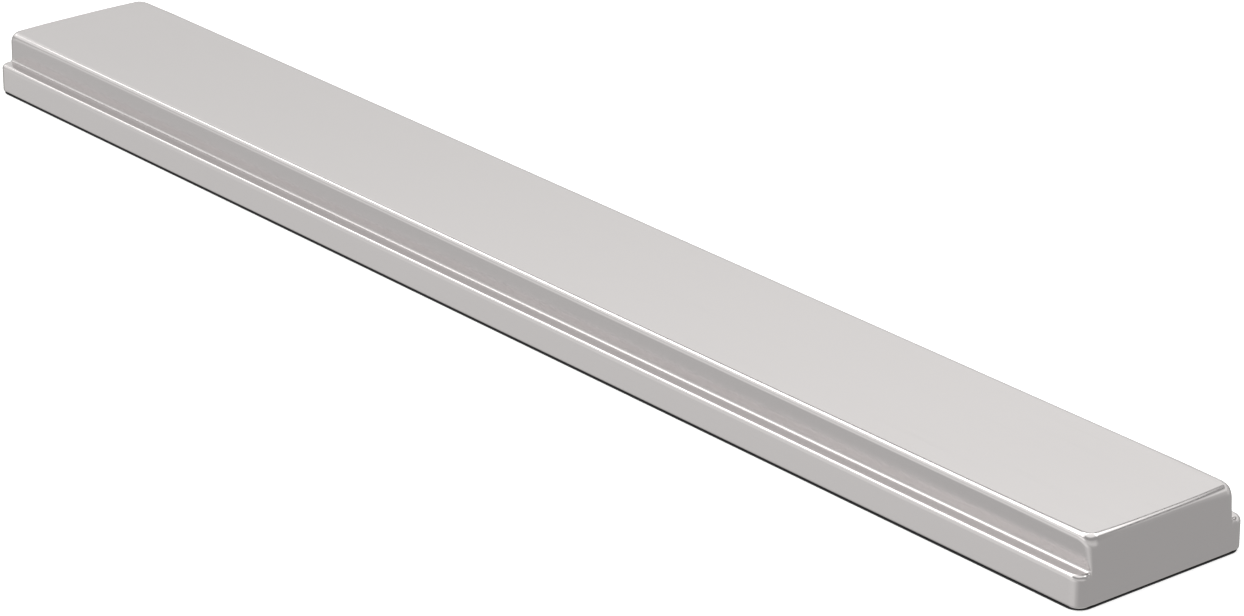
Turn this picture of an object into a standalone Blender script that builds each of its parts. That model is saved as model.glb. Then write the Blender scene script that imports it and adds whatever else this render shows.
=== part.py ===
"""A magnetic knife bar: a stepped stainless cover over a tray of magnets, closed by a back plate that hooks onto two
wall brackets. X runs along the bar, +Y is up when it hangs on a wall, and +Z is out of its working face. The origin
is the middle of its back."""

import math

import bmesh
import bpy
from mathutils import Matrix, Vector

MM = 0.001
GAP = 0.3 * MM  # left between solids that touch

# The stepped stainless cover
LENGTH = 406.4 * MM
BASE_WIDTH = 49.0 * MM
FACE_WIDTH = 42.0 * MM
HEIGHT = 16.0 * MM
LEDGE_HEIGHT = 7.9 * MM
SHEET = 0.8 * MM
EDGE_ROUND = 1.2 * MM
RIM_HEIGHT = 0.5 * MM  # the cover's rim clears the wall by this much

# The back plate
BACK_INSET = 1.6 * MM  # from the outside of the cover
BACK_CORNER = 2.0 * MM
FLANGE_INSET = 0.1 * MM
FLANGE = 0.3 * MM  # the thin edge that the cover's rim stands over
WEB = 2.1 * MM
BACK_DEPTH = 4.1 * MM
RIM_WALL = 1.8 * MM
WINDOW_MARGIN = 4.0 * MM  # solid plastic beside each bracket's window

# The magnets and the two strips that carry their field to the face
MAGNET_COUNT = 14
MAGNET_LENGTH = 25.0 * MM
MAGNET_WIDTH = 18.0 * MM
MAGNET_PITCH = 28.0 * MM
MAGNET_EDGE = 0.4 * MM
RAIL_THICKNESS = 3.0 * MM

# The tray that holds them
TRAY_FLOOR = (5.4 * MM, 6.4 * MM)
TRAY_SHOULDER = (4.4 * MM, 5.6 * MM)
TRAY_SKIRT = 1.6 * MM
TRAY_RIB_TOP = 12.6 * MM
TRAY_RIB = 1.6 * MM
TAPE_WIDTH = 2.4 * MM
TAPE_END = 8.0 * MM  # from each end of the cover

# The screws that hold the back plate to the tray
SCREW_ROWS_Y = 17.2 * MM
SCREW_X = (62.0 * MM, 190.0 * MM)
SCREW_SHANK = 1.45 * MM
SCREW_HEAD = 2.6 * MM
SCREW_HEAD_Z = (0.4 * MM, 1.9 * MM)
SCREW_TIP_Z = 11.2 * MM
BOSS_RADIUS = 2.7 * MM

# The wall brackets and what they hook behind
BRACKET_X = 140.0 * MM
BRACKET_WIDTH = 36.0 * MM
BRACKET_SHEET = 1.2 * MM
BRACKET_FOOT = -8.8 * MM
BRACKET_FACE = 3.6 * MM
BRACKET_TONGUE_END = 9.8 * MM
BRACKET_TONGUE_Z = 3.9 * MM
BRACKET_HOLE = 2.2 * MM
BRACKET_SINK = 4.0 * MM
BRACKET_HOLE_SPACING = 22.0 * MM
BRACKET_HOLE_Y = -3.4 * MM
BRACKET_TRAVEL = 6.5 * MM
SIDE_PLAY = 0.5 * MM
HANGER_SHEET = 1.2 * MM
HANGER_WIDTH = 42.0 * MM
HANGER_EDGE = BRACKET_FACE + GAP
HANGER_TOP = 15.0 * MM
STAKE_SPACING = 28.0 * MM
STAKE_Y = 12.6 * MM
STAKE_RADIUS = 1.4 * MM
STAKE_HEAD = 2.1 * MM
STAKE_STEM = 0.7 * MM  # above the hanger plate
STAKE_TOP = 1.1 * MM


def clear_scene():
    for obj in list(bpy.data.objects):
        bpy.data.objects.remove(obj, do_unlink=True)


def material(name, color, roughness, metallic):
    made = bpy.data.materials.new(name)
    made.use_nodes = True
    shader = made.node_tree.nodes["Principled BSDF"]
    shader.inputs["Base Color"].default_value = (*color, 1.0)
    shader.inputs["Roughness"].default_value = roughness
    shader.inputs["Metallic"].default_value = metallic
    return made


def add_object(name, form, finish=None):
    """An object made from a bmesh, whose place is in its mesh."""
    bmesh.ops.recalc_face_normals(form, faces=form.faces)
    mesh = bpy.data.meshes.new(name)
    form.to_mesh(mesh)
    form.free()
    if finish:
        mesh.materials.append(finish)
    obj = bpy.data.objects.new(name, mesh)
    bpy.context.scene.collection.objects.link(obj)
    return obj


def add_copy(name, first):
    """Another object with the first one's mesh."""
    obj = bpy.data.objects.new(name, first.data)
    bpy.context.scene.collection.objects.link(obj)
    return obj


def move_origin(obj, place):
    """Puts the object's origin at a place and leaves its shape where it is."""
    obj.data.transform(Matrix.Translation(-Vector(place)))
    obj.location = place


def add_box(form, low, high):
    """One closed box in a bmesh, between two corners."""
    size = [b - a for a, b in zip(low, high)]
    middle = [(a + b) / 2 for a, b in zip(low, high)]
    place = Matrix.Translation(middle) @ Matrix.Diagonal((*size, 1.0))
    return bmesh.ops.create_cube(form, size=1.0, matrix=place)["verts"]


def add_cylinder(form, x, y, z_low, z_high, radius, top_radius=None, sides=32):
    """One closed cylinder or cone in a bmesh, along Z."""
    top_radius = radius if top_radius is None else top_radius
    place = Matrix.Translation((x, y, (z_low + z_high) / 2))
    bmesh.ops.create_cone(
        form, cap_ends=True, segments=sides, radius1=radius, radius2=top_radius,
        depth=z_high - z_low, matrix=place,
    )


def shade_round(obj):
    obj.data.shade_smooth()
    obj.data.set_sharp_from_angle(angle=math.radians(35))


def tool(name, form):
    """A helper solid that only a Boolean reads."""
    made = add_object(name, form)
    made.hide_render = True
    made.display_type = "WIRE"
    return made


def boolean(obj, helper, operation):
    step = obj.modifiers.new(helper.name, "BOOLEAN")
    step.operation = operation
    step.solver = "EXACT"
    step.object = helper
    step.use_self = operation == "UNION"


def stepped_prism(length, base_width, face_width, ledge, top, bottom):
    """A bar along X, wide below the ledge and narrow above it, with flush ends."""
    wide, narrow = base_width / 2, face_width / 2
    outline = [(-wide, bottom), (wide, bottom), (wide, ledge), (narrow, ledge)]
    outline += [(narrow, top), (-narrow, top), (-narrow, ledge), (-wide, ledge)]
    form = bmesh.new()
    corners = [form.verts.new((-length / 2, y, z)) for y, z in outline]
    end = form.faces.new(corners)
    moved = bmesh.ops.extrude_face_region(form, geom=[end])["geom"]
    far = [item for item in moved if isinstance(item, bmesh.types.BMVert)]
    bmesh.ops.translate(form, verts=far, vec=(length, 0, 0))
    return form


def cover_shell(finish):
    form = stepped_prism(LENGTH, BASE_WIDTH, FACE_WIDTH, LEDGE_HEIGHT, HEIGHT, RIM_HEIGHT)
    round_edges = [e for e in form.edges if any(v.co.z > RIM_HEIGHT + GAP for v in e.verts)]
    bmesh.ops.bevel(
        form, geom=round_edges, offset=EDGE_ROUND, segments=3, profile=0.5,
        affect="EDGES", clamp_overlap=True,
    )
    obj = add_object("cover_shell", form, finish)
    inside = stepped_prism(
        LENGTH - 2 * SHEET, BASE_WIDTH - 2 * SHEET, FACE_WIDTH - 2 * SHEET,
        LEDGE_HEIGHT - SHEET, HEIGHT - SHEET, -RIM_HEIGHT,
    )
    boolean(obj, tool("cover_hollow", inside), "DIFFERENCE")
    shade_round(obj)


def rounded_slab(half_x, half_y, corner, z_low, z_high):
    """A plate in a bmesh whose upright corners are rounded."""
    form = bmesh.new()
    add_box(form, (-half_x, -half_y, z_low), (half_x, half_y, z_high))
    upright = [e for e in form.edges if abs(e.verts[0].co.z - e.verts[1].co.z) > (z_high - z_low) / 2]
    bmesh.ops.bevel(form, geom=upright, offset=corner, segments=8, profile=0.5, affect="EDGES")
    return form


def screw_places():
    return [(sx * x, sy * SCREW_ROWS_Y) for sy in (-1, 1) for x in SCREW_X for sx in (-1, 1)]


def stake_places():
    half = STAKE_SPACING / 2
    return [(side * BRACKET_X + x, STAKE_Y) for side in (-1, 1) for x in (-half, half)]


def back_plate(finish):
    """A shallow ribbed tray with a thin flange under the cover's rim and a window for each wall bracket."""
    half_x, half_y = LENGTH / 2 - BACK_INSET, BASE_WIDTH / 2 - BACK_INSET
    form = rounded_slab(half_x, half_y, BACK_CORNER, 0, BACK_DEPTH)
    obj = add_object("back_plate", form, finish)
    past = BACK_INSET - FLANGE_INSET
    flange = rounded_slab(half_x + past, half_y + past, BACK_CORNER + past, 0, FLANGE)
    boolean(obj, tool("back_flange", flange), "UNION")

    cells = bmesh.new()
    inner_x, inner_y = half_x - RIM_WALL, SCREW_ROWS_Y - BOSS_RADIUS - GAP
    middle, reach = MAGNET_PITCH * 2, BRACKET_WIDTH / 2 + WINDOW_MARGIN
    spans = [(-middle + RIM_WALL, -RIM_WALL / 2), (RIM_WALL / 2, middle - RIM_WALL)]
    for side in (-1, 1):
        inner = sorted((side * middle, side * (BRACKET_X - reach - RIM_WALL)))
        outer = sorted((side * (BRACKET_X + reach + RIM_WALL), side * inner_x))
        spans += [inner, outer]
    for low, high in spans:
        add_box(cells, (low, -inner_y, WEB), (high, inner_y, BACK_DEPTH + MM))
    boolean(obj, tool("back_cells", cells), "DIFFERENCE")

    cuts = bmesh.new()
    window = BRACKET_WIDTH / 2 + SIDE_PLAY
    foot = BRACKET_FOOT - BRACKET_TRAVEL - SIDE_PLAY
    seat = HANGER_WIDTH / 2 + GAP
    for side in (-1, 1):
        x = side * BRACKET_X
        add_box(
            cuts, (x - window, foot, -MM), (x + window, HANGER_EDGE + 0.1 * MM, BACK_DEPTH + MM)
        )
    boolean(obj, tool("back_windows", cuts), "DIFFERENCE")
    seats = bmesh.new()
    for side in (-1, 1):
        x = side * BRACKET_X
        add_box(
            seats, (x - seat, HANGER_EDGE - GAP, WEB), (x + seat, HANGER_TOP + GAP, BACK_DEPTH + MM)
        )
    boolean(obj, tool("hanger_seats", seats), "DIFFERENCE")

    holes = bmesh.new()
    for x, y in screw_places():
        add_cylinder(holes, x, y, -MM, SCREW_HEAD_Z[1], SCREW_HEAD + GAP)
    boolean(obj, tool("screw_seats", holes), "DIFFERENCE")
    holes = bmesh.new()
    for x, y in screw_places():
        add_cylinder(holes, x, y, -2 * MM, BACK_DEPTH + 2 * MM, SCREW_SHANK + GAP)
    boolean(obj, tool("screw_holes", holes), "DIFFERENCE")

    hanger_top = WEB + GAP + HANGER_SHEET
    for name, radius, low, high in (
        ("stakes", STAKE_RADIUS, WEB / 2, hanger_top + STAKE_STEM),
        ("stake_heads", STAKE_HEAD, hanger_top + GAP, hanger_top + STAKE_TOP),
    ):
        posts = bmesh.new()
        for x, y in stake_places():
            add_cylinder(posts, x, y, low, high, radius)
        boolean(obj, tool(name, posts), "UNION")
    shade_round(obj)


def hanger_plate(name, x, finish):
    """A steel plate staked inside the back plate. Its lower edge is the lip that the bar hangs by."""
    half = HANGER_WIDTH / 2
    low = WEB + GAP
    form = bmesh.new()
    add_box(form, (x - half, HANGER_EDGE, low), (x + half, HANGER_TOP, low + HANGER_SHEET))
    obj = add_object(name, form, finish)
    holes = bmesh.new()
    for offset in (-STAKE_SPACING / 2, STAKE_SPACING / 2):
        add_cylinder(holes, x + offset, STAKE_Y, low - MM, low + HANGER_SHEET + MM, STAKE_RADIUS + GAP)
    boolean(obj, tool(name + "_holes", holes), "DIFFERENCE")


def wall_bracket(name, x, finish):
    """A joggled steel strip: a foot with two countersunk holes, a riser, and a tongue that points up."""
    half = BRACKET_WIDTH / 2
    riser = BRACKET_FACE - BRACKET_SHEET
    tongue_top = BRACKET_TONGUE_Z + BRACKET_SHEET
    outline = [(BRACKET_FOOT, 0), (BRACKET_FACE, 0), (BRACKET_FACE, BRACKET_TONGUE_Z)]
    outline += [(BRACKET_TONGUE_END, BRACKET_TONGUE_Z), (BRACKET_TONGUE_END, tongue_top)]
    outline += [(riser, tongue_top), (riser, BRACKET_SHEET), (BRACKET_FOOT, BRACKET_SHEET)]
    form = bmesh.new()
    end = form.faces.new([form.verts.new((x - half, y, z)) for y, z in outline])
    moved = bmesh.ops.extrude_face_region(form, geom=[end])["geom"]
    far = [item for item in moved if isinstance(item, bmesh.types.BMVert)]
    bmesh.ops.translate(form, verts=far, vec=(BRACKET_WIDTH, 0, 0))
    obj = add_object(name, form, finish)
    holes, sinks = bmesh.new(), bmesh.new()
    for offset in (-BRACKET_HOLE_SPACING / 2, BRACKET_HOLE_SPACING / 2):
        at = (x + offset, BRACKET_HOLE_Y)
        add_cylinder(holes, *at, -MM, BRACKET_SHEET + MM, BRACKET_HOLE)
        add_cylinder(
            sinks, *at, BRACKET_SHEET - (BRACKET_SINK - BRACKET_HOLE) / 2,
            BRACKET_SHEET + (BRACKET_SINK - BRACKET_HOLE) / 2,
            BRACKET_HOLE, 2 * BRACKET_SINK - BRACKET_HOLE,
        )
    boolean(obj, tool(name + "_holes", holes), "DIFFERENCE")
    boolean(obj, tool(name + "_sinks", sinks), "DIFFERENCE")
    move_origin(obj, (x, BRACKET_FACE, 0))


def magnet_carrier(finish):
    """A moulded tray: a floor, two skirts with shoulders under the cover's ledges, a ladder of ribs, and bosses."""
    half_x = LENGTH / 2 - SHEET - GAP
    inside = FACE_WIDTH / 2 - SHEET - GAP
    shoulder = BASE_WIDTH / 2 - SHEET - 0.5 * MM
    row = MAGNET_COUNT * MAGNET_PITCH / 2
    rail_out = MAGNET_WIDTH / 2 + 2 * GAP + RAIL_THICKNESS
    form = bmesh.new()
    add_box(form, (-half_x, -inside, TRAY_FLOOR[0]), (half_x, inside, TRAY_FLOOR[1]))
    obj = add_object("magnet_carrier", form, finish)
    sink = 0.2 * MM

    skirts = bmesh.new()
    for side in (-1, 1):
        low, high = sorted((side * (inside - TRAY_SKIRT), side * shoulder))
        add_box(skirts, (-half_x + GAP, low, TRAY_SHOULDER[0]), (half_x - GAP, high, TRAY_SHOULDER[1]))
    boolean(obj, tool("tray_shoulders", skirts), "UNION")

    ribs = bmesh.new()
    for side in (-1, 1):
        low, high = sorted((side * (rail_out + GAP), side * (rail_out + GAP + TRAY_RIB)))
        add_box(ribs, (-half_x + GAP, low, TRAY_FLOOR[1] - sink), (half_x - GAP, high, TRAY_RIB_TOP))
    boolean(obj, tool("tray_long_ribs", ribs), "UNION")

    ribs = bmesh.new()
    thickness = MAGNET_PITCH - MAGNET_LENGTH - 2 * GAP
    for i in range(1, MAGNET_COUNT):
        x = -row + i * MAGNET_PITCH
        add_box(
            ribs, (x - thickness / 2, -MAGNET_WIDTH / 2, TRAY_FLOOR[1] - sink),
            (x + thickness / 2, MAGNET_WIDTH / 2, TRAY_RIB_TOP + GAP),
        )
    end_rib = rail_out + 2 * GAP
    for side in (-1, 1):
        low, high = sorted((side * (row + GAP), side * (half_x - 2 * GAP)))
        add_box(
            ribs, (low, -end_rib, TRAY_FLOOR[1] - sink), (high, end_rib, TRAY_RIB_TOP + GAP)
        )
    boolean(obj, tool("tray_cross_ribs", ribs), "UNION")

    bosses = bmesh.new()
    for x, y in screw_places():
        add_cylinder(bosses, x, y, BACK_DEPTH + GAP + 0.1 * MM, TRAY_RIB_TOP - GAP, BOSS_RADIUS)
    boolean(obj, tool("tray_bosses", bosses), "UNION")
    bores = bmesh.new()
    for x, y in screw_places():
        add_cylinder(bores, x, y, BACK_DEPTH - MM, SCREW_TIP_Z + GAP, SCREW_SHANK + GAP)
    boolean(obj, tool("tray_bores", bores), "DIFFERENCE")
    shade_round(obj)


def magnets(finish):
    """Identical blocks in a row, with a rib of the tray between neighbours."""
    form = bmesh.new()
    half_x, half_y = MAGNET_LENGTH / 2, MAGNET_WIDTH / 2
    low = TRAY_FLOOR[1] + GAP
    add_box(form, (-half_x, -half_y, low), (half_x, half_y, HEIGHT - SHEET - 3 * GAP))
    bmesh.ops.bevel(form, geom=form.edges[:], offset=MAGNET_EDGE, segments=1, affect="EDGES")
    first = add_object("magnet_01", form, finish)
    for i in range(MAGNET_COUNT):
        obj = first if i == 0 else add_copy(f"magnet_{i + 1:02d}", first)
        obj.location.x = (i - (MAGNET_COUNT - 1) / 2) * MAGNET_PITCH


def pole_rail(name, side, finish):
    half_x = MAGNET_COUNT * MAGNET_PITCH / 2
    near = MAGNET_WIDTH / 2 + GAP
    low, high = sorted((side * near, side * (near + RAIL_THICKNESS)))
    form = bmesh.new()
    add_box(form, (-half_x, low, TRAY_FLOOR[1] + GAP), (half_x, high, HEIGHT - SHEET - GAP))
    add_object(name, form, finish)


def bonding_tape(name, side, finish):
    """Foam tape between a shoulder of the tray and the underside of a ledge of the cover."""
    half_x = LENGTH / 2 - TAPE_END
    outer = BASE_WIDTH / 2 - SHEET - 1.5 * GAP
    low, high = sorted((side * (outer - TAPE_WIDTH), side * outer))
    form = bmesh.new()
    bottom, top = TRAY_SHOULDER[1] + GAP, LEDGE_HEIGHT - SHEET - GAP
    add_box(form, (-half_x, low, bottom), (half_x, high, top))
    add_object(name, form, finish)


def back_screws(finish):
    """Identical self-tapping screws: a pan head, a shank and a blunt point."""
    profile = [(0, SCREW_HEAD_Z[0]), (0.75 * SCREW_HEAD, SCREW_HEAD_Z[0])]
    profile += [(SCREW_HEAD, SCREW_HEAD_Z[0] + 0.6 * MM), (SCREW_HEAD, SCREW_HEAD_Z[1] - GAP)]
    profile += [(SCREW_SHANK, SCREW_HEAD_Z[1] - GAP), (SCREW_SHANK, SCREW_TIP_Z - 2 * MM)]
    profile += [(0.3 * MM, SCREW_TIP_Z), (0, SCREW_TIP_Z)]
    form = bmesh.new()
    points = [form.verts.new((r, 0, z)) for r, z in profile]
    edges = [form.edges.new(pair) for pair in zip(points, points[1:])]
    bmesh.ops.spin(
        form, geom=points + edges, cent=(0, 0, 0), axis=(0, 0, 1),
        angle=2 * math.pi, steps=24, use_merge=True,
    )
    bmesh.ops.remove_doubles(form, verts=form.verts[:], dist=0.001 * MM)
    first = add_object("back_screw_1", form, finish)
    shade_round(first)
    for i, (x, y) in enumerate(screw_places()):
        obj = first if i == 0 else add_copy(f"back_screw_{i + 1}", first)
        obj.location = (x, y, 0)


def main():
    clear_scene()
    stainless = material("satin_stainless", (0.62, 0.61, 0.60), 0.32, 1.0)
    plastic = material("black_moulding", (0.02, 0.02, 0.021), 0.5, 0.0)
    natural = material("natural_moulding", (0.70, 0.69, 0.64), 0.45, 0.0)
    ferrite = material("ferrite", (0.06, 0.06, 0.062), 0.6, 0.0)
    mild_steel = material("mild_steel", (0.42, 0.41, 0.40), 0.4, 1.0)
    zinc = material("zinc_plate", (0.66, 0.67, 0.69), 0.3, 1.0)
    foam = material("foam_tape", (0.85, 0.85, 0.83), 0.9, 0.0)

    cover_shell(stainless)
    back_plate(plastic)
    magnet_carrier(natural)
    magnets(ferrite)
    back_screws(zinc)
    for name, side in (("upper", 1), ("lower", -1)):
        pole_rail("pole_rail_" + name, side, mild_steel)
        bonding_tape("bonding_tape_" + name, side, foam)
    for name, side in (("left", -1), ("right", 1)):
        hanger_plate("hanger_plate_" + name, side * BRACKET_X, zinc)
        wall_bracket("wall_bracket_" + name, side * BRACKET_X, zinc)


main()
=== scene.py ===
"""A magnetic knife bar lying face up: its looks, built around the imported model. Metres, +Z up."""
import math

import bmesh
import bpy
import numpy as np
from mathutils import Matrix, Vector


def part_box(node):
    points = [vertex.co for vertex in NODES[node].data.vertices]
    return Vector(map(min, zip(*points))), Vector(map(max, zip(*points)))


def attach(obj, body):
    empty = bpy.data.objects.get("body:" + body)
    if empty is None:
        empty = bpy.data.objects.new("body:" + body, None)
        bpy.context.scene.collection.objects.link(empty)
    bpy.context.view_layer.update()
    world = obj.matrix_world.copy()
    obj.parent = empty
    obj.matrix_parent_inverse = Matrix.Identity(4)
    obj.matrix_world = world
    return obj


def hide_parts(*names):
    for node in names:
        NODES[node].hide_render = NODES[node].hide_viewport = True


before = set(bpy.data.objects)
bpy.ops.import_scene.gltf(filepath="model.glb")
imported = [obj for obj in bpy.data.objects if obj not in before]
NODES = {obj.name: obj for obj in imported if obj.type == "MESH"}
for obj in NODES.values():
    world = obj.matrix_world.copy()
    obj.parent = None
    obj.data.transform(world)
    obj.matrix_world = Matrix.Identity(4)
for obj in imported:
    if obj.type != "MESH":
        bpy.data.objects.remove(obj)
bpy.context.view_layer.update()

MM = 0.001

# The cover's driving sizes, read from the frame, and the radii that its press leaves
COVER_LOW, COVER_HIGH = (np.array(corner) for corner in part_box("cover_shell"))
LENGTH, BASE_WIDTH = COVER_HIGH[0] - COVER_LOW[0], COVER_HIGH[1] - COVER_LOW[1]
RIM, TOP = COVER_LOW[2], COVER_HIGH[2]
FACE_WIDTH = 42.0 * MM
LEAN = 0.35 * MM  # how far each side wall leans out from its foot to the face
LEDGE = 7.9 * MM
SHEET = 0.8 * MM
RIM_LIP = 0.9 * MM

RADII = {
    "Edge Radius": 1.2 * MM,
    "End Edge Radius": 1.7 * MM,
    "Ledge Edge Radius": 0.9 * MM,
    "Ledge End Radius": 1.5 * MM,
    "Foot Radius": 0.45 * MM,
    "Rim Radius": 0.4 * MM,
    "Top Corner Radius": 2.8 * MM,
    "Ball Radius": 3.5 * MM,
    "Base Corner Radius": 2.75 * MM,
    "Foot Corner Radius": 0.9 * MM,
}
CORNER_REACH = 7.0 * MM  # how far from an end the radii begin to grow

SOFTENED = 0.2 * MM  # the least radius that moulding, bending and tumbling leave on an edge
FOAM_EDGE = 0.3 * MM
PLATE_EDGE = 0.15 * MM
SMOOTH_BELOW = math.radians(38)

# How the press works: its steps, the width over which it feels the slope, the most that a point moves in one
# step, and the least slope that it divides by
PRESS_STEPS = 12
PROBE = 0.02 * MM
LONGEST_STEP = 0.3 * MM
LEAST_SLOPE = 0.3

# The blank's squares: small ones within reach of an edge, and larger ones between. A place may pass the last
# edge by a rounding error.
ROUNDING = 1e-9
FINE = 0.2 * MM
REACH, END_REACH = 3.0 * MM, 4.0 * MM
COARSE_X, COARSE_Y, COARSE_Z = 12.0 * MM, 1.5 * MM, 1.0 * MM

MAGNETS = sorted(name for name in NODES if name.startswith("magnet_") and name != "magnet_carrier")
SCREWS = sorted(name for name in NODES if name.startswith("back_screw_"))

# The screws' turned and rolled shape
SCREW_SIDES = 36
HEAD_DEPTH = 1.2 * MM
HEAD_RISE = 0.75 * MM  # the rounded part of the head
HEAD_FLAT, HEAD_SHOULDER = 0.55, 0.72  # where the head's flat ends and its round begins, of its radius
HEAD_STEPS = 6
HEAD_EDGE = 0.06 * MM
THREAD_CREST = 1.45 * MM
THREAD_PITCH = 1.1 * MM
THREAD_DEPTH = 0.38 * MM
THREAD_FLANK = 3.2  # how fast the thread falls away on each side of its crest
TIP_THREAD = 0.35  # the thread's depth at the tip, of the whole
RINGS_PER_PITCH = 9
POINT_LENGTH = 2.2 * MM
POINT_WIDTH = 0.16  # the point's radius, of the core's
CROSS_WIDTH = 0.62 * MM
CROSS_REACH = 1.75 * MM
CROSS_DEPTH = 0.85 * MM
CROSS_TAPER, CROSS_END_TAPER = 0.8, 0.45  # what is left at the bottom of a bar's width and of its length
SCREW_SEED = 7

# The wall brackets' sheet, bends and countersunk holes
BRACKET_SHEET = 1.2 * MM
BRACKET_BEND = 1.3 * MM  # to the middle of the sheet
BRACKET_EDGE = 0.12 * MM
BEND_STEPS = 8
RISER_Y = 3.6 * MM
HOLE_SPACING = 22.0 * MM
HOLE_Y = -3.4 * MM
HOLE_RADIUS = 2.2 * MM
SINK_RADIUS = 4.0 * MM
HOLE_DEPTH = 6.0 * MM  # of the cutter, which goes right through
HOLE_SIDES = 48

# The view: its bearing and height in degrees, its distance, the point it looks at and its lens
VIEW_AZIMUTH = 50.59
VIEW_ELEVATION = 22.50
VIEW_DISTANCE = 1.170
VIEW_TARGET = (0.01678, 0.00743, 0.0)
VIEW_LENS = 143.4

# The room: its floor, its plain walls' brightness, and its soft cards, which add light or take some away. A
# card has its middle's bearing, half its width, its lowest and highest edge, the softness of those edges and
# of its two ends, all in degrees, and its brightness.
FLOOR_GLOW = 0.5
FLOOR_Z = -0.05 * MM
FLOOR_REACH = 6.0
WALLS = 0.42
ROOM_COLOR = (1.0, 0.995, 0.985, 1.0)
CARDS = (
    (130.0, 90.0, 50.0, 62.0, 4.0, 4.0, 2.4),
    (0.0, 180.0, 62.0, 100.0, 6.0, 1.0, 0.9),
    (120.0, 70.0, 0.0, 33.0, 4.0, 10.0, 0.27),
    (120.0, 70.0, 24.0, 31.0, 8.0, 10.0, 1.1),
    (250.0, 45.0, -28.0, 4.0, 20.0, 30.0, 0.80),
    (219.0, 45.0, 14.0, 30.0, 6.0, 10.0, 0.80),
    (204.0, 32.0, 38.0, 50.0, 4.0, 4.0, 3.4),
    (15.0, 75.0, -60.0, 20.0, 12.0, 12.0, 0.11),
    (120.0, 70.0, 39.0, 45.0, 3.0, 10.0, -0.30),
    (300.0, 70.0, 6.0, 34.0, 6.0, 20.0, 0.35),
    (0.0, 180.0, -100.0, -52.0, 8.0, 1.0, 0.45),
)


# ---------------------------------------------------------------- node trees

class Value:
    """A node's output socket. Python's operators on it add Math nodes to its tree."""

    def __init__(self, tree, socket):
        self.tree, self.socket = tree, socket

    def math(self, operation, *others):
        inputs = dict(enumerate((self, *others)))
        return self.tree.node("ShaderNodeMath", {"operation": operation}, inputs)[0]

    def __add__(self, other): return self.math("ADD", other)
    def __sub__(self, other): return self.math("SUBTRACT", other)
    def __mul__(self, other): return self.math("MULTIPLY", other)
    def __truediv__(self, other): return self.math("DIVIDE", other)
    def __pow__(self, other): return self.math("POWER", other)
    def __neg__(self): return self.math("MULTIPLY", -1.0)
    def __abs__(self): return self.math("ABSOLUTE")
    def __rsub__(self, other): return (-self).math("ADD", other)
    __radd__, __rmul__ = __add__, __mul__

    def least(self, other): return self.math("MINIMUM", other)
    def most(self, other): return self.math("MAXIMUM", other)
    def clamped(self): return self.most(0.0).least(1.0)

    def fade(self, start, end):
        """0 before start, 1 past end, and a soft step between."""
        t = ((self - start) / (end - start)).clamped()
        return t * t * (3.0 - 2.0 * t)


class Outputs:
    """The outputs of one node, by name or place."""

    def __init__(self, tree, node):
        self.tree, self.made = tree, node

    def __getitem__(self, key):
        return Value(self.tree, self.made.outputs[key])


class Tree:
    """Adds nodes to one node tree."""

    def __init__(self, nodes):
        self.nodes = nodes

    def link(self, value, socket):
        if isinstance(value, Value):
            self.nodes.links.new(value.socket, socket)
        else:
            socket.default_value = value

    def node(self, kind, settings=None, inputs=None):
        made = self.nodes.nodes.new(kind)
        for name, value in (settings or {}).items():
            setattr(made, name, value)
        for key, value in (inputs or {}).items():
            self.link(value, made.inputs[key])
        return Outputs(self, made)


def new_group(name, sizes):
    """An empty Geometry Nodes tree with named inputs, each of them a Float or an Int."""
    group = bpy.data.node_groups.new(name, "GeometryNodeTree")
    for way in ("INPUT", "OUTPUT"):
        group.interface.new_socket("Geometry", in_out=way, socket_type="NodeSocketGeometry")
    for size, kind in sizes.items():
        group.interface.new_socket(size, in_out="INPUT", socket_type="NodeSocket" + kind)
    tree = Tree(group)
    return tree, tree.node("NodeGroupInput")


def finish_tree(tree, geometry, finish):
    whole = tree.node("GeometryNodeRealizeInstances", inputs={0: geometry})
    coated = tree.node("GeometryNodeSetMaterial", inputs={"Geometry": whole[0], "Material": finish})
    tree.node("NodeGroupOutput", inputs={0: coated[0]})
    return tree.nodes


def length_of(a, b):
    return (a * a + b * b) ** 0.5


# ------------------------------------------------------------ the cover's rule

def rounded_edge(a, b, radius):
    """The distance to a convex edge of that radius, between faces at the signed distances a and b."""
    return a.most(b).least(-radius) + length_of((a + radius).most(0.0), (b + radius).most(0.0))


def rounded_foot(a, b, radius):
    """The distance to two bodies joined by a concave fillet."""
    return a.least(b).most(radius) - length_of((radius - a).most(0.0), (radius - b).most(0.0))


def cover_distance(x, y, z, size):
    """The signed distance, near the surface, from a point to the pressed cover: a wide low body and a narrow
    high one whose ends are flush, joined by a fillet. The edges get rounder towards the ends."""
    x, y = abs(x), abs(y)
    past_end = x - size["Length"] / 2.0
    plan = rounded_edge(past_end, y - size["Base Width"] / 2.0, size["Base Corner Radius"])
    near_end = (1.0 + past_end / size["Corner Reach"]).clamped() ** 2.0
    ledge_edge = size["Ledge Edge Radius"] + (size["Ledge End Radius"] - size["Ledge Edge Radius"]) * near_end
    flange = rounded_edge(plan, z - size["Ledge Height"], ledge_edge)

    foot, corner, edge = size["Foot Corner Radius"], size["Top Corner Radius"], size["Edge Radius"]
    up = ((z - size["Ledge Height"]) / (size["Height"] - edge - size["Ledge Height"])).clamped()
    half_face = size["Face Width"] / 2.0 + size["Lean"] * (2.0 * up - 1.0)
    plan = rounded_edge(past_end, y - half_face, foot + (corner - foot) * up)
    near_corner = near_end * (y / half_face).clamped() ** 3.0
    end_edge = size["End Edge Radius"]
    top_edge = edge + (end_edge - edge) * near_end + (size["Ball Radius"] - end_edge) * near_corner
    plateau = rounded_edge(plan, z - size["Height"], top_edge)

    fillet = size["Foot Radius"] * (-past_end / size["Foot Radius"]).clamped()
    body = rounded_foot(flange, plateau, fillet)
    return rounded_edge(body, size["Rim Height"] - z, size["Rim Radius"])


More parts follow.
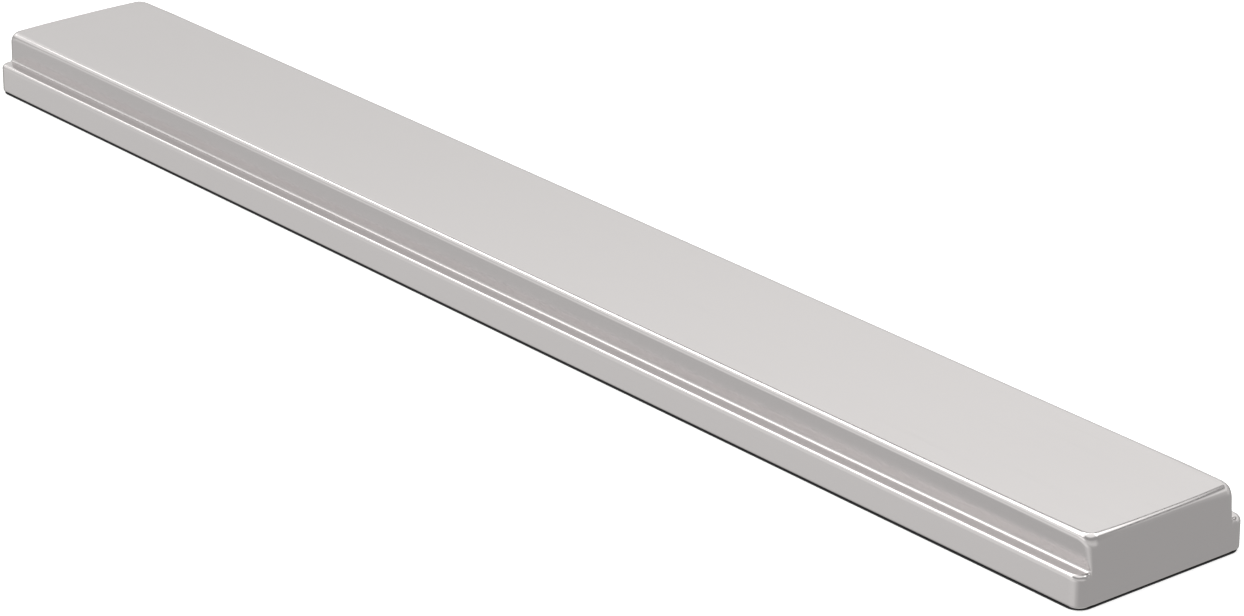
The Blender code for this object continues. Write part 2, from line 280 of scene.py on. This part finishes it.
def press_tree(finish):
    """A Geometry Nodes tree that moves every point of a sharp blank onto the rounded cover."""
    sizes = {
        "Length": LENGTH,
        "Base Width": BASE_WIDTH,
        "Face Width": FACE_WIDTH,
        "Lean": LEAN,
        "Ledge Height": LEDGE,
        "Height": TOP,
        "Rim Height": RIM,
        "Corner Reach": CORNER_REACH,
        **RADII,
    }
    tree, given = new_group("press_cover", dict.fromkeys(sizes, "Float"))
    size = {name: given[name] for name in sizes}

    start, stop = tree.node("GeometryNodeRepeatInput"), tree.node("GeometryNodeRepeatOutput")
    start.made.pair_with_output(stop.made)
    tree.link(PRESS_STEPS, start.made.inputs["Iterations"])
    tree.link(given["Geometry"], start.made.inputs["Geometry"])

    place = tree.node("GeometryNodeInputPosition")["Position"]
    split = tree.node("ShaderNodeSeparateXYZ", inputs={0: place})
    point = [split[axis] for axis in "XYZ"]
    here = cover_distance(*point, size)
    slope = []
    for axis in range(3):
        moved = [value + PROBE if i == axis else value for i, value in enumerate(point)]
        slope.append((cover_distance(*moved, size) - here) / PROBE)
    steepness = slope[0] * slope[0] + slope[1] * slope[1] + slope[2] * slope[2]
    step = (-here / steepness.most(LEAST_SLOPE)).most(-LONGEST_STEP).least(LONGEST_STEP)
    offset = tree.node("ShaderNodeCombineXYZ", inputs={i: s * step for i, s in enumerate(slope)})
    moving = {"Geometry": start["Geometry"], "Offset": offset[0]}
    pressed = tree.node("GeometryNodeSetPosition", inputs=moving)
    tree.link(pressed["Geometry"], stop.made.inputs["Geometry"])
    return finish_tree(tree, stop["Geometry"], finish), sizes


def run_nodes(obj, group, values):
    """Gives a tree its named inputs, and turns what it makes into a plain mesh."""
    modifier = obj.modifiers.new(group.name, "NODES")
    modifier.node_group = group
    for item in group.interface.items_tree:
        if item.in_out == "INPUT" and item.name in values:
            modifier[item.identifier] = values[item.name]
    apply_modifiers(obj)


def apply_modifiers(obj):
    graph = bpy.context.evaluated_depsgraph_get()
    mesh = bpy.data.meshes.new_from_object(obj.evaluated_get(graph))
    obj.modifiers.clear()
    obj.data = mesh


def mesh_of(name, form):
    """The mesh of a bmesh, which is freed."""
    mesh = bpy.data.meshes.new(name)
    form.to_mesh(mesh)
    form.free()
    return mesh


def add_object(name, mesh):
    obj = bpy.data.objects.new(name, mesh)
    bpy.context.scene.collection.objects.link(obj)
    return obj


def add_piece(name, mesh, finish):
    mesh.materials.clear()
    mesh.materials.append(finish)
    return add_object(name, mesh)


def hand_over(obj, body, nodes):
    """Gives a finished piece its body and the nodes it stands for."""
    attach(obj, body)
    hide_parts(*nodes)


def stations(planes, reach, coarse):
    """Places along one axis: close together near each plane, and wider apart between."""
    near = np.arange(0.0, reach + FINE / 2, FINE)
    places = set()
    for plane in planes:
        for t in near:
            for side in (-1, 1):
                value = plane + side * t
                if planes[0] - ROUNDING <= value <= planes[-1] + ROUNDING:
                    places.add(round(float(value), 7))
    places = sorted(places)
    filled = []
    for a, b in zip(places, places[1:]):
        filled.append(a)
        gap = b - a
        if gap > coarse:
            count = int(math.ceil(gap / coarse))
            filled += [a + gap * i / count for i in range(1, count)]
    return np.array(filled + [places[-1]])


def stepped_blank(name):
    """The cover's sharp outside: a wide block with a narrow one on it, skinned with squares that get small at
    every edge. Its underside is open but for a narrow rim."""
    half_x, half_y, narrow = LENGTH / 2, BASE_WIDTH / 2, FACE_WIDTH / 2
    xs = stations((-half_x, half_x), END_REACH, COARSE_X)
    ys = stations((-half_y, -narrow, narrow, half_y), REACH, COARSE_Y)
    zs = stations((RIM, LEDGE, TOP), REACH, COARSE_Z)
    middle_y, middle_z = (ys[1:] + ys[:-1]) / 2, (zs[1:] + zs[:-1]) / 2
    filled = np.ones((len(xs) + 1, len(ys) + 1, len(zs) + 1), bool)
    filled[0], filled[-1] = False, False
    filled[:, 0], filled[:, -1] = False, False
    filled[:, :, 0], filled[:, :, -1] = False, False
    above = np.concatenate([[False], middle_z > LEDGE, [False]])
    beside = np.concatenate([[False], abs(middle_y) > narrow, [False]])
    filled &= ~(beside[:, None] & above[None, :])

    places, index, faces = [], {}, []

    def corner(*key):
        if key not in index:
            index[key] = len(places)
            places.append((xs[key[0]], ys[key[1]], zs[key[2]]))
        return index[key]

    for axis in range(3):
        low = [slice(None)] * 3
        high = [slice(None)] * 3
        low[axis], high[axis] = slice(None, -1), slice(1, None)
        change = filled[tuple(high)].astype(int) - filled[tuple(low)]
        u, v = [(1, 2), (2, 0), (0, 1)][axis]
        for cell in np.argwhere(change):
            if axis == 2 and cell[2] == 0:
                x, y = xs[cell[0] - 1:cell[0] + 1].mean(), ys[cell[1] - 1:cell[1] + 1].mean()
                if abs(x) < half_x - RIM_LIP and abs(y) < half_y - RIM_LIP:
                    continue
            loop = []
            for du, dv in ((0, 0), (1, 0), (1, 1), (0, 1)):
                key = [int(c) for c in cell]
                key[u] += du - 1
                key[v] += dv - 1
                loop.append(corner(*key))
            faces.append(loop if change[tuple(cell)] < 0 else loop[::-1])
    mesh = bpy.data.meshes.new(name)
    mesh.from_pydata(places, [], faces)
    mesh.shade_smooth()
    return add_object(name, mesh)


def make_cover(finish):
    cover = stepped_blank("cover")
    group, sizes = press_tree(finish)
    run_nodes(cover, group, sizes)
    wall = cover.modifiers.new("sheet", "SOLIDIFY")
    wall.thickness, wall.offset, wall.use_even_offset = SHEET, -1.0, True
    apply_modifiers(cover)
    hand_over(cover, "rack", ["cover_shell"])


# ------------------------------------------------------------- other pieces

def ease_edges(obj, width):
    """Rounds every sharp edge a little. Shading stays flat on flat faces and smooth round curves."""
    obj.data.shade_smooth()
    bevel = obj.modifiers.new("eased", "BEVEL")
    bevel.width, bevel.segments = width, 2
    bevel.limit_method, bevel.angle_limit = "ANGLE", SMOOTH_BELOW
    flat = obj.modifiers.new("flat_faces", "WEIGHTED_NORMAL")
    flat.weight = 100
    apply_modifiers(obj)


def merged_copy(node):
    """A node's solid as one mesh of whole faces."""
    mesh = bpy.data.objects[node].data.copy()
    form = bmesh.new()
    form.from_mesh(mesh)
    bmesh.ops.remove_doubles(form, verts=form.verts[:], dist=0.001 * MM)
    bmesh.ops.dissolve_limit(
        form, angle_limit=math.radians(1), use_dissolve_boundaries=False,
        verts=form.verts[:], edges=form.edges[:],
    )
    form.to_mesh(mesh)
    form.free()
    return mesh


def softened(node, body, finish, width=SOFTENED):
    """A node's own shape with its edges eased."""
    obj = add_piece(node + "_piece", merged_copy(node), finish)
    ease_edges(obj, width)
    hand_over(obj, body, [node])


def row_tree(finish):
    """A Geometry Nodes tree that lays copies of a block out along X."""
    tree, given = new_group("lay_row", {"Count": "Int", "Pitch": "Float"})
    start = tree.node("ShaderNodeCombineXYZ", inputs={"X": (given["Count"] - 1.0) * given["Pitch"] * -0.5})
    step = tree.node("ShaderNodeCombineXYZ", inputs={"X": given["Pitch"]})
    line = tree.node(
        "GeometryNodeMeshLine", {"mode": "OFFSET"},
        {"Count": given["Count"], "Start Location": start[0], "Offset": step[0]},
    )
    block = {"Points": line[0], "Instance": given["Geometry"]}
    laid = tree.node("GeometryNodeInstanceOnPoints", inputs=block)
    return finish_tree(tree, laid[0], finish)


def magnet_row(finish):
    """Every magnet is the first one again, one pitch further on."""
    low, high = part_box(MAGNETS[0])
    next_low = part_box(MAGNETS[1])[0]
    block = add_piece("magnet_row", merged_copy(MAGNETS[0]), finish)
    block.data.transform(Matrix.Translation((-(low[0] + high[0]) / 2, 0, 0)))
    ease_edges(block, 0.5 * SOFTENED)
    run_nodes(block, row_tree(finish), {"Count": len(MAGNETS), "Pitch": next_low[0] - low[0]})
    hand_over(block, "rack", MAGNETS)


def screw_rings(low, tip, seat, head):
    """The screw from its head to its tip, as rings. Each has a radius, a height and the thread's depth."""
    core = THREAD_CREST - THREAD_DEPTH
    rings = [(HEAD_FLAT * head, low, 0.0), (HEAD_SHOULDER * head, low + HEAD_EDGE / 2, 0.0)]
    for i in range(1, HEAD_STEPS + 1):
        turn = math.radians(90 * i / HEAD_STEPS)
        radius = head * (HEAD_SHOULDER + (1 - HEAD_SHOULDER) * math.sin(turn))
        rings.append((radius, low + HEAD_RISE * (1 - math.cos(turn)), 0.0))
    rings += [(head, seat - HEAD_EDGE, 0.0), (head - HEAD_EDGE, seat, 0.0), (core, seat, 0.0)]
    steps = int((tip - seat) / (THREAD_PITCH / RINGS_PER_PITCH))
    for i in range(1, steps):
        z = seat + (tip - seat) * i / steps
        taper = min(1.0, max(POINT_WIDTH, (tip - z) / POINT_LENGTH))
        start = min(1.0, (z - seat) / THREAD_PITCH)
        rings.append((core * taper, z, THREAD_DEPTH * start * (TIP_THREAD + (1 - TIP_THREAD) * taper)))
    return rings


def screw_mesh(low, tip, seat, head):
    """A pan-head screw on the Z axis, its head down, with a rolled thread."""
    form = bmesh.new()
    loops = []
    for radius, z, depth in screw_rings(low, tip, seat, head):
        loop = []
        for i in range(SCREW_SIDES):
            turn = 2 * math.pi * i / SCREW_SIDES
            phase = ((z - seat) / THREAD_PITCH - i / SCREW_SIDES) % 1.0
            r = radius + depth * max(0.0, 1.0 - THREAD_FLANK * abs(phase - 0.5))
            loop.append(form.verts.new((r * math.cos(turn), r * math.sin(turn), z)))
        loops.append(loop)
    for below, above in zip(loops, loops[1:]):
        for i in range(SCREW_SIDES):
            j = (i + 1) % SCREW_SIDES
            form.faces.new((below[i], below[j], above[j], above[i]))
    form.faces.new(loops[0][::-1])
    form.faces.new(loops[-1])
    return mesh_of("screw", form)


def cross_cutter(low):
    """A cross of two tapered bars, for the driver's recess. A bar has its widths and tapers in X and Y."""
    form = bmesh.new()
    bars = (
        (CROSS_WIDTH, 2 * CROSS_REACH, CROSS_TAPER, CROSS_END_TAPER),
        (2 * CROSS_REACH, CROSS_WIDTH, CROSS_END_TAPER, CROSS_TAPER),
    )
    place = Matrix.Translation((0, 0, low + CROSS_DEPTH / 2 - 0.5 * MM))
    for x, y, taper_x, taper_y in bars:
        size = Matrix.Diagonal((x, y, CROSS_DEPTH + MM, 1.0))
        for vert in bmesh.ops.create_cube(form, size=1.0, matrix=place @ size)["verts"]:
            if vert.co.z > low:
                vert.co.x *= taper_x
                vert.co.y *= taper_y
    return mesh_of("cross", form)


def cut_with(obj, *cutters):
    """Takes each cutter's mesh away from an object. A cutter may cross itself."""
    tools = []
    for mesh in cutters:
        tools.append(add_object(mesh.name, mesh))
        cut = obj.modifiers.new(mesh.name, "BOOLEAN")
        cut.object, cut.operation, cut.solver, cut.use_self = tools[-1], "DIFFERENCE", "EXACT", True
    apply_modifiers(obj)
    for tool in tools:
        bpy.data.objects.remove(tool)


def screw_tree(finish):
    """A Geometry Nodes tree that sets eight screws in two rows, each turned to its own angle."""
    inputs = {"Row Y": "Float", "Inner X": "Float", "Outer X": "Float", "Seed": "Int"}
    tree, given = new_group("set_screws", inputs)
    span_x, span_y = given["Outer X"] * 2.0, given["Row Y"] * 2.0
    grid = tree.node(
        "GeometryNodeMeshGrid", inputs={"Size X": span_x, "Size Y": span_y, "Vertices X": 4, "Vertices Y": 2},
    )
    split = tree.node("ShaderNodeSeparateXYZ", inputs={0: tree.node("GeometryNodeInputPosition")[0]})
    outer = abs(split["X"]).math("GREATER_THAN", given["Outer X"] * 0.5)
    x = split["X"].math("SIGN") * (given["Inner X"] + (given["Outer X"] - given["Inner X"]) * outer)
    place = tree.node("ShaderNodeCombineXYZ", inputs={"X": x, "Y": split["Y"]})
    moved = tree.node("GeometryNodeSetPosition", inputs={"Geometry": grid["Mesh"], "Position": place[0]})
    turn = tree.node("FunctionNodeRandomValue", {"data_type": "FLOAT"}, {"Seed": given["Seed"]})
    angle = tree.node("ShaderNodeCombineXYZ", inputs={"Z": turn[1] * math.tau})
    laid = tree.node(
        "GeometryNodeInstanceOnPoints",
        inputs={"Points": moved[0], "Instance": given["Geometry"], "Rotation": angle[0]},
    )
    return finish_tree(tree, laid[0], finish)


def back_screws(finish):
    boxes = [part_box(name) for name in SCREWS]
    low, high = boxes[0]
    head = (high[0] - low[0]) / 2
    screw = add_piece("back_screws", screw_mesh(low[2], high[2], low[2] + HEAD_DEPTH, head), finish)
    cut_with(screw, cross_cutter(low[2]))
    screw.data.shade_smooth()
    screw.data.set_sharp_from_angle(angle=math.radians(45))
    xs = sorted({round(float(abs(low[0] + high[0]) / 2), 5) for low, high in boxes})
    row_y = float(abs(low[1] + high[1]) / 2)
    values = {"Row Y": row_y, "Inner X": xs[0], "Outer X": xs[-1], "Seed": SCREW_SEED}
    run_nodes(screw, screw_tree(finish), values)
    hand_over(screw, "rack", SCREWS)


def bent_outline(path, thickness, bend):
    """The outline of a strip bent along a path of points, with a real radius at each bend."""
    half = thickness / 2
    sides = {1: [], -1: []}
    path = [Vector(point) for point in path]
    for i, point in enumerate(path):
        before = (point - path[i - 1]).normalized() if i else None
        after = (path[i + 1] - point).normalized() if i < len(path) - 1 else None
        if before is None or after is None:
            along = before or after
            across = Vector((-along.y, along.x))
            for side in sides:
                sides[side].append(point + across * half * side)
            continue
        turn = before.cross(after)
        way = 1 if turn > 0 else -1
        half_angle = before.angle(after) / 2
        back = bend * math.tan(half_angle)
        centre = point - before * back + Vector((-before.y, before.x)) * bend * way
        first = Vector((before.y, -before.x)) * way
        for step in range(BEND_STEPS + 1):
            angle = way * 2 * half_angle * step / BEND_STEPS
            spoke = Vector((first.x * math.cos(angle) - first.y * math.sin(angle),
                            first.x * math.sin(angle) + first.y * math.cos(angle)))
            for side in sides:
                sides[side].append(centre + spoke * (bend - half * side * way))
    return sides[1] + sides[-1][::-1]


def hole_cutter(name, x, z, low_radius, high_radius, depth):
    """Two round cutters, one at each bracket hole, on both sides of x."""
    form = bmesh.new()
    for side in (-1, 1):
        bmesh.ops.create_cone(
            form, cap_ends=True, segments=HOLE_SIDES, radius1=low_radius, radius2=high_radius, depth=depth,
            matrix=Matrix.Translation((x + side * HOLE_SPACING / 2, HOLE_Y, z)),
        )
    return mesh_of(name, form)


def wall_bracket(side, finish):
    """A strip bent twice into a joggle, with two countersunk holes in its foot."""
    body = "bracket_" + side
    low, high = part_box("wall_" + body)
    riser = RISER_Y - BRACKET_SHEET / 2
    foot, tongue = low[2] + BRACKET_SHEET / 2, high[2] - BRACKET_SHEET / 2
    path = [(low[1], foot), (riser, foot), (riser, tongue), (high[1], tongue)]
    form = bmesh.new()
    corners = [form.verts.new((low[0], p.x, p.y)) for p in bent_outline(path, BRACKET_SHEET, BRACKET_BEND)]
    end = form.faces.new(corners)
    moved = bmesh.ops.extrude_face_region(form, geom=[end])["geom"]
    far = [item for item in moved if isinstance(item, bmesh.types.BMVert)]
    bmesh.ops.translate(form, verts=far, vec=(high[0] - low[0], 0, 0))
    bmesh.ops.recalc_face_normals(form, faces=form.faces[:])
    obj = add_piece(f"wall_{body}_piece", mesh_of(body, form), finish)
    middle, face = (low[0] + high[0]) / 2, low[2] + BRACKET_SHEET
    sink_depth, sink_wide = SINK_RADIUS - HOLE_RADIUS, 2 * SINK_RADIUS - HOLE_RADIUS
    holes = hole_cutter("holes", middle, 0.0, HOLE_RADIUS, HOLE_RADIUS, HOLE_DEPTH)
    cut_with(obj, holes, hole_cutter("sinks", middle, face, HOLE_RADIUS, sink_wide, sink_depth))
    ease_edges(obj, BRACKET_EDGE)
    hand_over(obj, body, ["wall_" + body])


# --------------------------------------------------------------- materials

def new_material(name, metallic):
    material = bpy.data.materials.new(name)
    material.use_nodes = True
    tree = Tree(material.node_tree)
    shader = material.node_tree.nodes["Principled BSDF"]
    shader.inputs["Metallic"].default_value = metallic
    return material, tree, shader


def noise(tree, place, scale, detail=2.0, stretch=(1.0, 1.0, 1.0)):
    """Noise from 0 to 1 at a number of grains per metre, in Object coordinates."""
    grains = tuple(scale * along for along in stretch)
    scaled = tree.node("ShaderNodeVectorMath", {"operation": "MULTIPLY"}, {0: place, 1: grains})
    grain = tree.node("ShaderNodeTexNoise", inputs={"Vector": scaled[0], "Scale": 1.0, "Detail": detail})
    return grain[0]


def object_place(tree):
    return tree.node("ShaderNodeTexCoord")["Object"]


def tinted(tree, shader, amount, dark, light):
    """Base Color between two colours. A Mix node has its colours at inputs 6 and 7 and at output 2."""
    colors = {0: amount.clamped(), 6: (*dark, 1.0), 7: (*light, 1.0)}
    mix = tree.node("ShaderNodeMix", {"data_type": "RGBA"}, colors)
    tree.link(mix[2], shader.inputs["Base Color"])


def bumped(tree, shader, height, distance):
    bump = tree.node("ShaderNodeBump", inputs={"Height": height, "Strength": 1.0, "Distance": distance})
    tree.link(bump["Normal"], shader.inputs["Normal"])


def satin_stainless():
    """Fine satin: a grain that runs along the bar, a few coarser hairs in it, and soft smears."""
    material, tree, shader = new_material("satin_stainless", 1.0)
    place = object_place(tree)
    grain = noise(tree, place, 5200.0, 3.0, (0.012, 1.0, 1.0))
    hairs = noise(tree, place, 2100.0, 1.0, (0.006, 1.0, 1.0)).fade(0.62, 0.74)
    smear = noise(tree, place, 28.0, 3.0, (0.35, 1.0, 1.0))
    shade = 0.5 + (grain - 0.5) * 0.5 + (smear - 0.5) * 0.35
    tinted(tree, shader, shade, (0.588, 0.568, 0.566), (0.628, 0.607, 0.605))
    tree.link(0.215 + (grain - 0.5) * 0.06 + (smear - 0.5) * 0.05 + hairs * 0.03, shader.inputs["Roughness"])
    bumped(tree, shader, grain + hairs * 0.5, 0.0012 * MM)
    return material


def black_moulding():
    """Black plastic with a spark-eroded texture and faint scuffs. Its near-black colour is partly the plate's
    own and partly painted shade: the edge that shows under the cover's rim stands in for the dark
    contact-shadow line at the base.
    """
    material, tree, shader = new_material("black_moulding", 0.0)
    place = object_place(tree)
    texture = noise(tree, place, 2600.0, 4.0)
    scuffs = noise(tree, place, 160.0, 5.0, (0.3, 1.0, 1.0)).fade(0.66, 0.84)
    cloud = noise(tree, place, 45.0, 3.0)
    # near-black base colour: the plate's own black, and also painted shade for the dark line under the
    # cover's rim
    tinted(tree, shader, 0.2 + cloud * 0.3 + scuffs * 0.3, (0.012, 0.012, 0.013), (0.026, 0.026, 0.028))
    tree.link(0.46 + texture * 0.14 - scuffs * 0.10 + (cloud - 0.5) * 0.08, shader.inputs["Roughness"])
    bumped(tree, shader, texture, 0.02 * MM)
    return material


def natural_moulding():
    """Undyed plastic, a little cloudy where it flowed."""
    material, tree, shader = new_material("natural_moulding", 0.0)
    place = object_place(tree)
    flow = noise(tree, place, 60.0, 4.0, (0.4, 1.0, 1.0))
    fine = noise(tree, place, 1800.0, 2.0)
    tinted(tree, shader, flow, (0.62, 0.60, 0.54), (0.76, 0.75, 0.70))
    tree.link(0.36 + flow * 0.12 + fine * 0.04, shader.inputs["Roughness"])
    bumped(tree, shader, fine, 0.01 * MM)
    return material


def ferrite():
    """Sintered ceramic: dark, dull and fine-grained, with ground faces and pale crumbs."""
    material, tree, shader = new_material("ferrite", 0.0)
    place = object_place(tree)
    grains = noise(tree, place, 2400.0, 5.0)
    crumbs = noise(tree, place, 700.0, 5.0).fade(0.66, 0.74)
    ground = noise(tree, place, 1500.0, 1.0, (1.0, 0.03, 1.0))
    tinted(tree, shader, grains * 0.6 + crumbs, (0.028, 0.028, 0.030), (0.115, 0.112, 0.110))
    tree.link(0.48 + grains * 0.22 - ground * 0.08, shader.inputs["Roughness"])
    bumped(tree, shader, grains + ground * 0.4, 0.015 * MM)
    return material


def mild_steel():
    """Cold-rolled strip: grey, with rolling lines along it and a trace of oil."""
    material, tree, shader = new_material("mild_steel", 1.0)
    place = object_place(tree)
    rolling = noise(tree, place, 2600.0, 3.0, (0.01, 1.0, 1.0))
    oil = noise(tree, place, 90.0, 4.0, (0.5, 1.0, 1.0))
    tinted(tree, shader, rolling * 0.5 + oil * 0.5, (0.31, 0.30, 0.285), (0.50, 0.485, 0.47))
    tree.link(0.26 + rolling * 0.12 + oil * 0.18, shader.inputs["Roughness"])
    bumped(tree, shader, rolling, 0.006 * MM)
    return material


def plated(name, dark, light, crystals):
    """Bright zinc: pale crystals, a cloudy passivated film and handling marks."""
    material, tree, shader = new_material(name, 1.0)
    place = object_place(tree)
    cells = tree.node("ShaderNodeTexVoronoi", inputs={"Vector": place, "Scale": crystals, "Randomness": 1.0})
    facet = tree.node("ShaderNodeSeparateColor", inputs={0: cells["Color"]})[0]
    film = noise(tree, place, 110.0, 4.0)
    marks = noise(tree, place, 1500.0, 3.0, (0.08, 1.0, 1.0)).fade(0.60, 0.76)
    tinted(tree, shader, facet * 0.35 + film * 0.6, dark, light)
    tree.link(0.25 + facet * 0.06 + film * 0.14 + marks * 0.08, shader.inputs["Roughness"])
    bumped(tree, shader, film * 0.5 + marks * 0.3 + facet * 0.15, 0.01 * MM)
    return material


def foam_tape():
    """White closed-cell foam, darker with the depth of its cells: that darkening is painted shade in the
    cells.
    """
    material, tree, shader = new_material("foam_tape", 0.0)
    place = object_place(tree)
    cells = tree.node("ShaderNodeTexVoronoi", inputs={"Vector": place, "Scale": 3200.0, "Randomness": 1.0})
    cloud = noise(tree, place, 120.0, 3.0)
    depth = (cells["Distance"] * 1.4).clamped()
    # the colour darkens with the cell depth that also drives the bump: painted shade in the foam's cells
    tinted(tree, shader, 0.85 - depth * 0.4 + cloud * 0.2, (0.66, 0.65, 0.61), (0.90, 0.89, 0.86))
    tree.link(0.82 + cloud * 0.12, shader.inputs["Roughness"])
    bumped(tree, shader, depth, 0.04 * MM)
    return material


# ------------------------------------------------------------------ studio

def pale_floor():
    """A white sheet just under the bar. It is clear from below, so that the bar's back can be seen."""
    mesh = bpy.data.meshes.new("floor")
    corners = [(FLOOR_REACH * x, FLOOR_REACH * y, FLOOR_Z) for x, y in ((-1, -1), (1, -1), (1, 1), (-1, 1))]
    mesh.from_pydata(corners, [], [(0, 1, 2, 3)])
    floor = add_object("floor", mesh)
    paper, tree, shader = new_material("white_paper", 0.0)
    shader.inputs["Base Color"].default_value = (0.9, 0.9, 0.9, 1.0)
    shader.inputs["Roughness"].default_value = 0.9
    shader.inputs["Emission Color"].default_value = (1.0, 1.0, 1.0, 1.0)
    shader.inputs["Emission Strength"].default_value = FLOOR_GLOW
    under = tree.node("ShaderNodeNewGeometry")["Backfacing"]
    clear = tree.node("ShaderNodeBsdfTransparent")
    sheet = tree.node(
        "ShaderNodeMixShader", inputs={0: under, 1: Value(tree, shader.outputs["BSDF"]), 2: clear["BSDF"]},
    )
    tree.link(sheet["Shader"], tree.nodes.nodes["Material Output"].inputs["Surface"])
    mesh.materials.append(paper)
    floor.visible_glossy = False


def studio():
    scene = bpy.context.scene
    scene.view_settings.view_transform = "Standard"
    pale_floor()
    light_room(scene)

    azimuth, elevation = math.radians(VIEW_AZIMUTH), math.radians(VIEW_ELEVATION)
    level = math.cos(elevation)
    back = Vector((math.sin(azimuth) * level, -math.cos(azimuth) * level, math.sin(elevation)))
    camera = add_object("camera", bpy.data.cameras.new("camera"))
    camera.data.lens = VIEW_LENS
    camera.location = Vector(VIEW_TARGET) + VIEW_DISTANCE * back
    camera.rotation_euler = back.to_track_quat("Z", "Y").to_euler()
    camera.data.clip_start = 0.01
    scene.camera = camera


def light_room(scene):
    """A dim room with soft cards of light."""
    world = bpy.data.worlds.new("studio")
    world.use_nodes = True
    scene.world = world
    tree = Tree(world.node_tree)
    way = tree.node("ShaderNodeTexCoord")["Generated"]
    split = tree.node("ShaderNodeSeparateXYZ", inputs={0: way})
    bearing = split["Y"].math("ARCTAN2", split["X"]) * math.degrees(1.0)
    height = split["Z"].math("ARCSINE") * math.degrees(1.0)
    light = WALLS
    for middle, half, low, high, soft, end_soft, strength in CARDS:
        card = height.fade(low - soft, low + soft) * (1.0 - height.fade(high - soft, high + soft)) * strength
        if half < 180.0:
            aside = abs((bearing - (middle - 180.0)).math("FLOORED_MODULO", 360.0) - 180.0)
            card = card * (1.0 - aside.fade(half - end_soft, half + end_soft))
        light = card + light
    background = world.node_tree.nodes["Background"]
    tree.link(light, background.inputs["Strength"])
    background.inputs["Color"].default_value = ROOM_COLOR


def main():
    make_cover(satin_stainless())
    softened("back_plate", "rack", black_moulding())
    softened("magnet_carrier", "rack", natural_moulding())
    magnet_row(ferrite())
    steel, foam = mild_steel(), foam_tape()
    zinc = plated("zinc_plate", (0.52, 0.53, 0.55), (0.72, 0.73, 0.75), 900.0)
    back_screws(plated("screw_steel", (0.48, 0.485, 0.50), (0.70, 0.705, 0.715), 2200.0))
    for place in ("upper", "lower"):
        softened("pole_rail_" + place, "rack", steel)
        softened("bonding_tape_" + place, "rack", foam, FOAM_EDGE)
    for side in ("left", "right"):
        softened("hanger_plate_" + side, "rack", zinc, PLATE_EDGE)
        wall_bracket(side, zinc)
    studio()


main()
